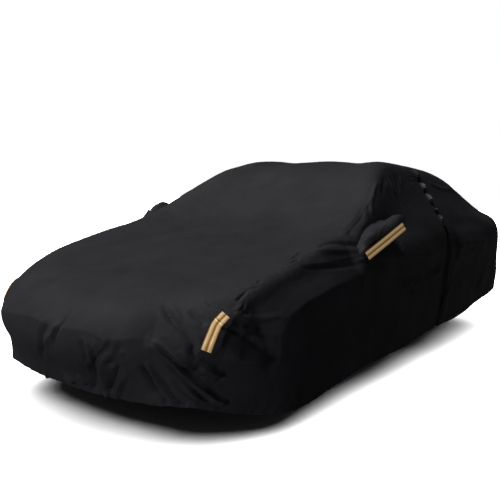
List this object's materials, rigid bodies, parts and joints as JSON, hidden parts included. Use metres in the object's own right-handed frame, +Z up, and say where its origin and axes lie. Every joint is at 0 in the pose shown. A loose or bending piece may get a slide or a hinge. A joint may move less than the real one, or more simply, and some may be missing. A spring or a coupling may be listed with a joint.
{
  "type": "car cover",
  "caption": "Fitted full car cover in black polyester with elastic hem, mirror pockets and reflective strips, in its draped saloon shape, open underneath.",
  "frame": {"origin": "under the middle of the roof, at the cloth's inner face, where the cover rests on the roof it protects", "axes": "+Y towards the rear end along the length, +X towards the cover's left side, +Z up"},
  "size_m": [2.024, 4.7148, 1.2993],
  "materials": {
    "black_polyester": "semi-matt woven polyester",
    "reflective_tape": "retroreflective tape with gold bands and a dark centre line"
  },
  "bodies": {
    "root": {"top_panel": "black_polyester", "left_front_side_panel": "black_polyester", "left_rear_quarter_panel": "black_polyester", "left_gathered_placket": "black_polyester", "right_side_panel": "black_polyester", "left_mirror_pocket": "black_polyester", "right_mirror_pocket": "black_polyester", "left_front_strip": "reflective_tape", "right_front_strip": "reflective_tape", "left_mirror_strip": "reflective_tape", "right_mirror_strip": "reflective_tape"}
  },
  "joints": []
}
